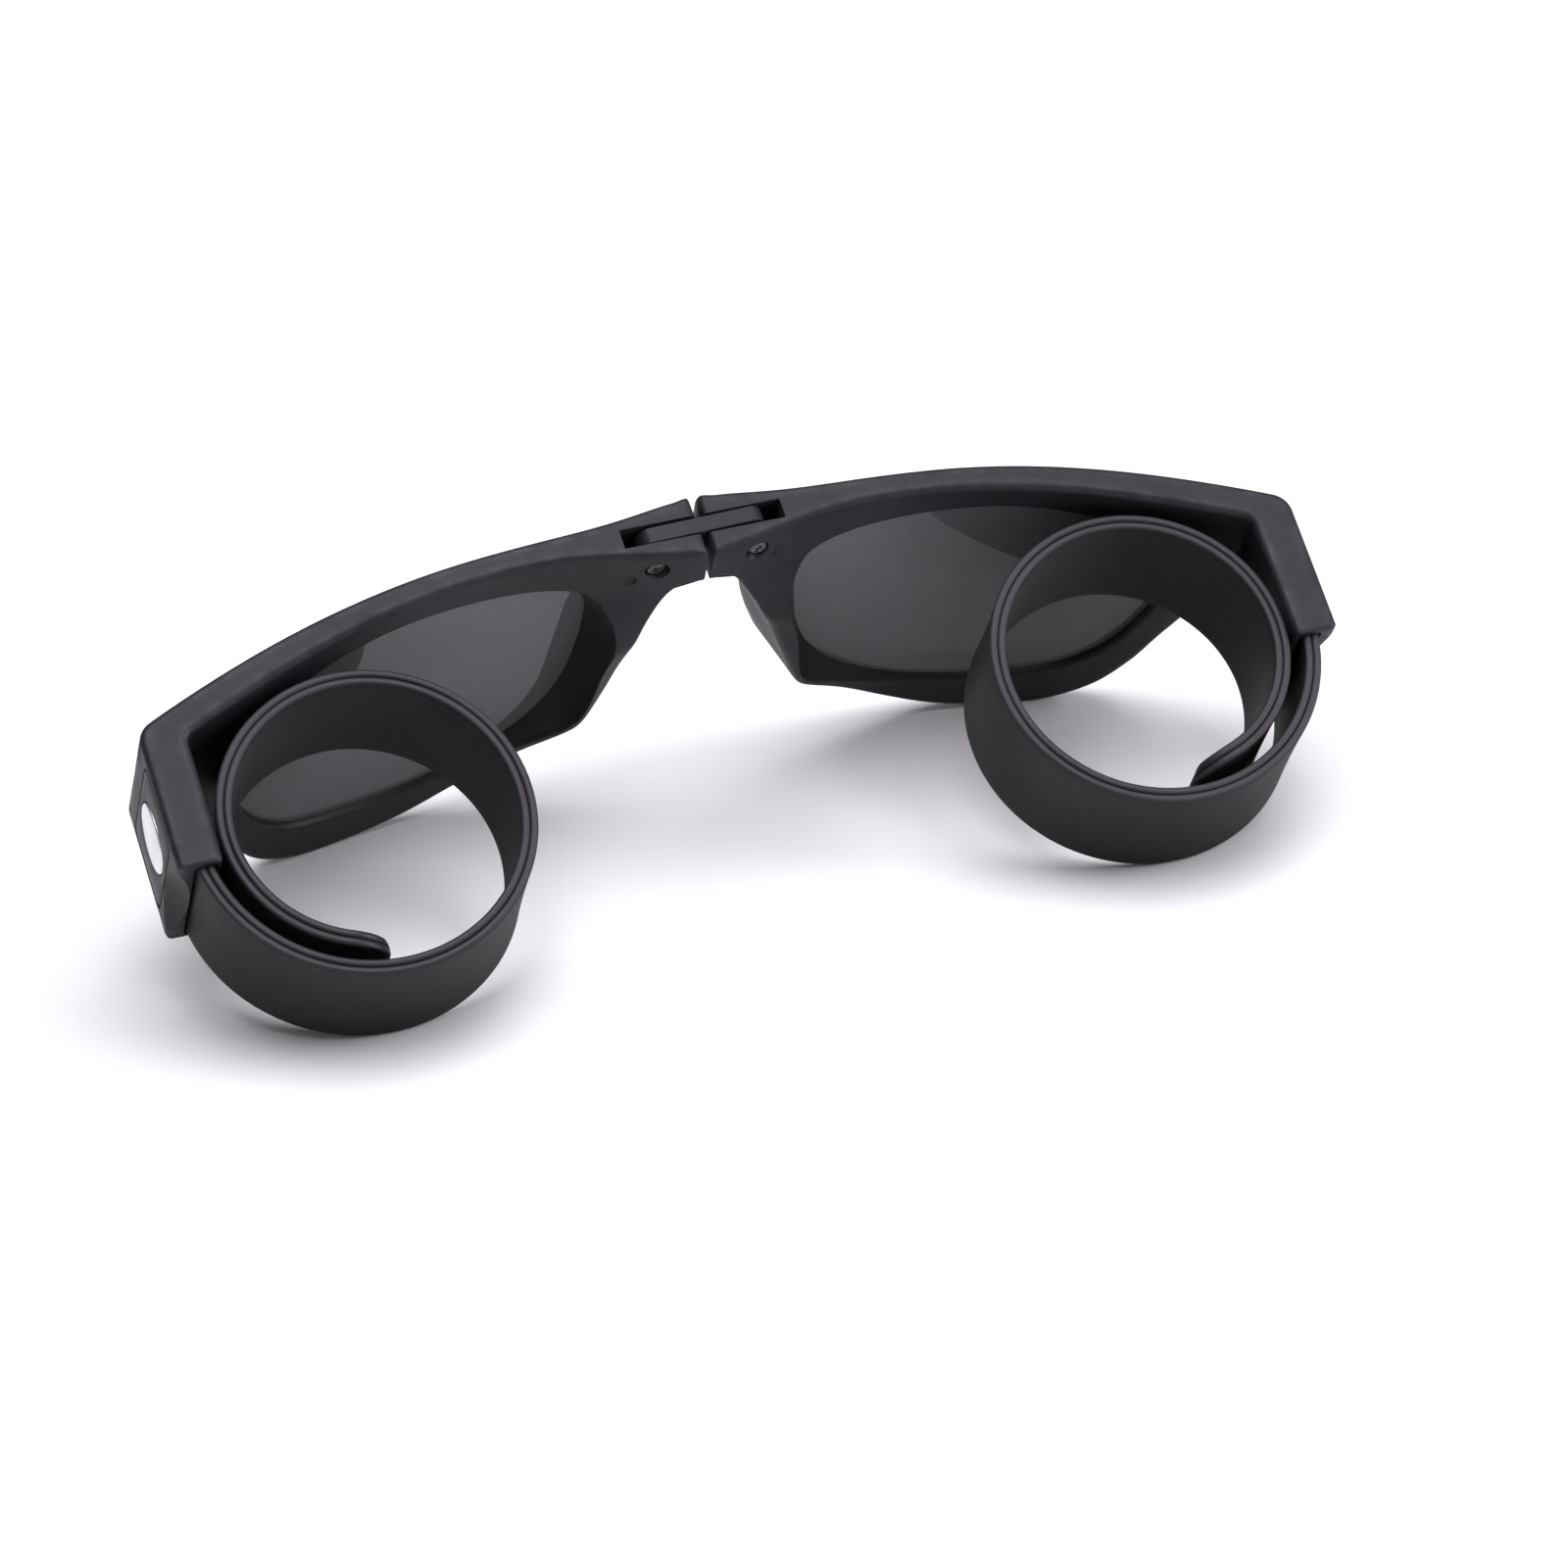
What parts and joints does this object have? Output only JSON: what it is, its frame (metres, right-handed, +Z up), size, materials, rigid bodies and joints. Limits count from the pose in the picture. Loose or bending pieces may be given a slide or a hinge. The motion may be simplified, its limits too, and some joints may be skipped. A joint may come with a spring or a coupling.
{
  "type": "folding sunglasses",
  "caption": "Folding sunglasses with a hinged bridge, dark lenses and flat spring bands that coil up at the temples and unroll to wrap round the head or a wrist.",
  "frame": {"origin": "on the table under the middle of the bounding box", "axes": "+X to the wearer's right, +Y forward out of the lenses along the table, +Z up from the table; the glasses lie pitched back on their lens rims and coils"},
  "size_m": [0.1472, 0.0596, 0.0459],
  "materials": {
    "frame": "soft-touch matt",
    "link": "matt",
    "lens": "polished smoke grey",
    "screw": "blackened steel",
    "insert": "machined",
    "cover": "matt",
    "badge": "satin, plain",
    "silicone": "matt silicone",
    "spring": "rolled"
  },
  "bodies": {
    "bridge": {"bridge_link": "link"},
    "right_half": {"right_frame_half": "frame", "right_lens": "lens", "right_pivot_screw": "screw", "right_thread_insert": "insert", "right_temple_cover": "cover", "right_badge": "badge", "right_band_root": "silicone"},
    "right_band_01": {"right_band_sleeve_01": "silicone", "right_spring_strip_01": "spring"},
    "right_band_02": {"right_band_sleeve_02": "silicone", "right_spring_strip_02": "spring"},
    "right_band_03": {"right_band_sleeve_03": "silicone", "right_spring_strip_03": "spring"},
    "right_band_04": {"right_band_sleeve_04": "silicone", "right_spring_strip_04": "spring"},
    "right_band_05": {"right_band_sleeve_05": "silicone", "right_spring_strip_05": "spring"},
    "right_band_06": {"right_band_sleeve_06": "silicone", "right_spring_strip_06": "spring"},
    "right_band_07": {"right_band_sleeve_07": "silicone", "right_spring_strip_07": "spring"},
    "right_band_08": {"right_band_sleeve_08": "silicone", "right_spring_strip_08": "spring"},
    "right_band_09": {"right_band_sleeve_09": "silicone", "right_spring_strip_09": "spring"},
    "right_band_10": {"right_band_sleeve_10": "silicone", "right_spring_strip_10": "spring"},
    "left_half": {"left_frame_half": "frame", "left_lens": "lens", "left_pivot_screw": "screw", "left_thread_insert": "insert", "left_temple_cover": "cover", "left_badge": "badge", "left_band_root": "silicone"},
    "left_band_01": {"left_band_sleeve_01": "silicone", "left_spring_strip_01": "spring"},
    "left_band_02": {"left_band_sleeve_02": "silicone", "left_spring_strip_02": "spring"},
    "left_band_03": {"left_band_sleeve_03": "silicone", "left_spring_strip_03": "spring"},
    "left_band_04": {"left_band_sleeve_04": "silicone", "left_spring_strip_04": "spring"},
    "left_band_05": {"left_band_sleeve_05": "silicone", "left_spring_strip_05": "spring"},
    "left_band_06": {"left_band_sleeve_06": "silicone", "left_spring_strip_06": "spring"},
    "left_band_07": {"left_band_sleeve_07": "silicone", "left_spring_strip_07": "spring"},
    "left_band_08": {"left_band_sleeve_08": "silicone", "left_spring_strip_08": "spring"},
    "left_band_09": {"left_band_sleeve_09": "silicone", "left_spring_strip_09": "spring"},
    "left_band_10": {"left_band_sleeve_10": "silicone", "left_spring_strip_10": "spring"}
  },
  "joints": [
    {"name": "right_fold", "type": "hinge", "parent": "bridge", "child": "right_half", "pos_m": [0.0065, 0.00986, 0.0416], "axis": [0, -0.8203, -0.5719], "range_deg": [0, 90]},
    {"name": "right_band_unroll", "type": "hinge", "parent": "right_half", "child": "right_band_01", "pos_m": [0.07089, -0.01023, 0.0173], "axis": [0, -0.5719, 0.8203], "range_deg": [0, 29]},
    {"name": "right_band_flex_02", "type": "hinge", "parent": "right_band_01", "child": "right_band_02", "pos_m": [0.0638, -0.02051, 0.01013], "axis": [0, -0.5719, 0.8203], "range_deg": [0, 38.9]},
    {"name": "right_band_flex_03", "type": "hinge", "parent": "right_band_02", "child": "right_band_03", "pos_m": [0.05035, -0.02474, 0.00718], "axis": [0, -0.5719, 0.8203], "range_deg": [0, 38]},
    {"name": "right_band_flex_04", "type": "hinge", "parent": "right_band_03", "child": "right_band_04", "pos_m": [0.03677, -0.02081, 0.00992], "axis": [0, -0.5719, 0.8203], "range_deg": [0, 37]},
    {"name": "right_band_flex_05", "type": "hinge", "parent": "right_band_04", "child": "right_band_05", "pos_m": [0.02975, -0.0105, 0.01711], "axis": [0, -0.5719, 0.8203], "range_deg": [0, 36]},
    {"name": "right_band_flex_06", "type": "hinge", "parent": "right_band_05", "child": "right_band_06", "pos_m": [0.03304, 0.00101, 0.02513], "axis": [0, -0.5719, 0.8203], "range_deg": [0, 34.9]},
    {"name": "right_band_flex_07", "type": "hinge", "parent": "right_band_06", "child": "right_band_07", "pos_m": [0.04507, 0.00751, 0.02967], "axis": [0, -0.5719, 0.8203], "range_deg": [0, 33.8]},
    {"name": "right_band_flex_08", "type": "hinge", "parent": "right_band_07", "child": "right_band_08", "pos_m": [0.05921, 0.00523, 0.02807], "axis": [0, -0.5719, 0.8203], "range_deg": [0, 32.6]},
    {"name": "right_band_flex_09", "type": "hinge", "parent": "right_band_08", "child": "right_band_09", "pos_m": [0.06709, -0.00466, 0.02118], "axis": [0, -0.5719, 0.8203], "range_deg": [0, 31.3]},
    {"name": "right_band_flex_10", "type": "hinge", "parent": "right_band_09", "child": "right_band_10", "pos_m": [0.06368, -0.01615, 0.01317], "axis": [0, -0.5719, 0.8203], "range_deg": [0, 30]},
    {"name": "left_fold", "type": "hinge", "parent": "bridge", "child": "left_half", "pos_m": [-0.0065, 0.00986, 0.0416], "axis": [0, 0.8203, 0.5719], "range_deg": [0, 90]},
    {"name": "left_band_unroll", "type": "hinge", "parent": "left_half", "child": "left_band_01", "pos_m": [-0.07089, -0.01023, 0.0173], "axis": [0, 0.5719, -0.8203], "range_deg": [0, 29]},
    {"name": "left_band_flex_02", "type": "hinge", "parent": "left_band_01", "child": "left_band_02", "pos_m": [-0.0638, -0.02051, 0.01013], "axis": [0, 0.5719, -0.8203], "range_deg": [0, 38.9]},
    {"name": "left_band_flex_03", "type": "hinge", "parent": "left_band_02", "child": "left_band_03", "pos_m": [-0.05035, -0.02474, 0.00718], "axis": [0, 0.5719, -0.8203], "range_deg": [0, 38]},
    {"name": "left_band_flex_04", "type": "hinge", "parent": "left_band_03", "child": "left_band_04", "pos_m": [-0.03677, -0.02081, 0.00992], "axis": [0, 0.5719, -0.8203], "range_deg": [0, 37]},
    {"name": "left_band_flex_05", "type": "hinge", "parent": "left_band_04", "child": "left_band_05", "pos_m": [-0.02975, -0.0105, 0.01711], "axis": [0, 0.5719, -0.8203], "range_deg": [0, 36]},
    {"name": "left_band_flex_06", "type": "hinge", "parent": "left_band_05", "child": "left_band_06", "pos_m": [-0.03304, 0.00101, 0.02513], "axis": [0, 0.5719, -0.8203], "range_deg": [0, 34.9]},
    {"name": "left_band_flex_07", "type": "hinge", "parent": "left_band_06", "child": "left_band_07", "pos_m": [-0.04507, 0.00751, 0.02967], "axis": [0, 0.5719, -0.8203], "range_deg": [0, 33.8]},
    {"name": "left_band_flex_08", "type": "hinge", "parent": "left_band_07", "child": "left_band_08", "pos_m": [-0.05921, 0.00523, 0.02807], "axis": [0, 0.5719, -0.8203], "range_deg": [0, 32.6]},
    {"name": "left_band_flex_09", "type": "hinge", "parent": "left_band_08", "child": "left_band_09", "pos_m": [-0.06709, -0.00466, 0.02118], "axis": [0, 0.5719, -0.8203], "range_deg": [0, 31.3]},
    {"name": "left_band_flex_10", "type": "hinge", "parent": "left_band_09", "child": "left_band_10", "pos_m": [-0.06368, -0.01615, 0.01317], "axis": [0, 0.5719, -0.8203], "range_deg": [0, 30]}
  ],
  "couplings": [
    {"joint": "right_band_flex_02", "follows": "right_band_unroll", "ratio": 1.3357},
    {"joint": "right_band_flex_03", "follows": "right_band_unroll", "ratio": 1.3036},
    {"joint": "right_band_flex_04", "follows": "right_band_unroll", "ratio": 1.27},
    {"joint": "right_band_flex_05", "follows": "right_band_unroll", "ratio": 1.2348},
    {"joint": "right_band_flex_06", "follows": "right_band_unroll", "ratio": 1.1978},
    {"joint": "right_band_flex_07", "follows": "right_band_unroll", "ratio": 1.159},
    {"joint": "right_band_flex_08", "follows": "right_band_unroll", "ratio": 1.1181},
    {"joint": "right_band_flex_09", "follows": "right_band_unroll", "ratio": 1.0751},
    {"joint": "right_band_flex_10", "follows": "right_band_unroll", "ratio": 1.0297},
    {"joint": "left_band_flex_02", "follows": "left_band_unroll", "ratio": 1.3357},
    {"joint": "left_band_flex_03", "follows": "left_band_unroll", "ratio": 1.3036},
    {"joint": "left_band_flex_04", "follows": "left_band_unroll", "ratio": 1.27},
    {"joint": "left_band_flex_05", "follows": "left_band_unroll", "ratio": 1.2348},
    {"joint": "left_band_flex_06", "follows": "left_band_unroll", "ratio": 1.1978},
    {"joint": "left_band_flex_07", "follows": "left_band_unroll", "ratio": 1.159},
    {"joint": "left_band_flex_08", "follows": "left_band_unroll", "ratio": 1.1181},
    {"joint": "left_band_flex_09", "follows": "left_band_unroll", "ratio": 1.0751},
    {"joint": "left_band_flex_10", "follows": "left_band_unroll", "ratio": 1.0297}
  ]
}
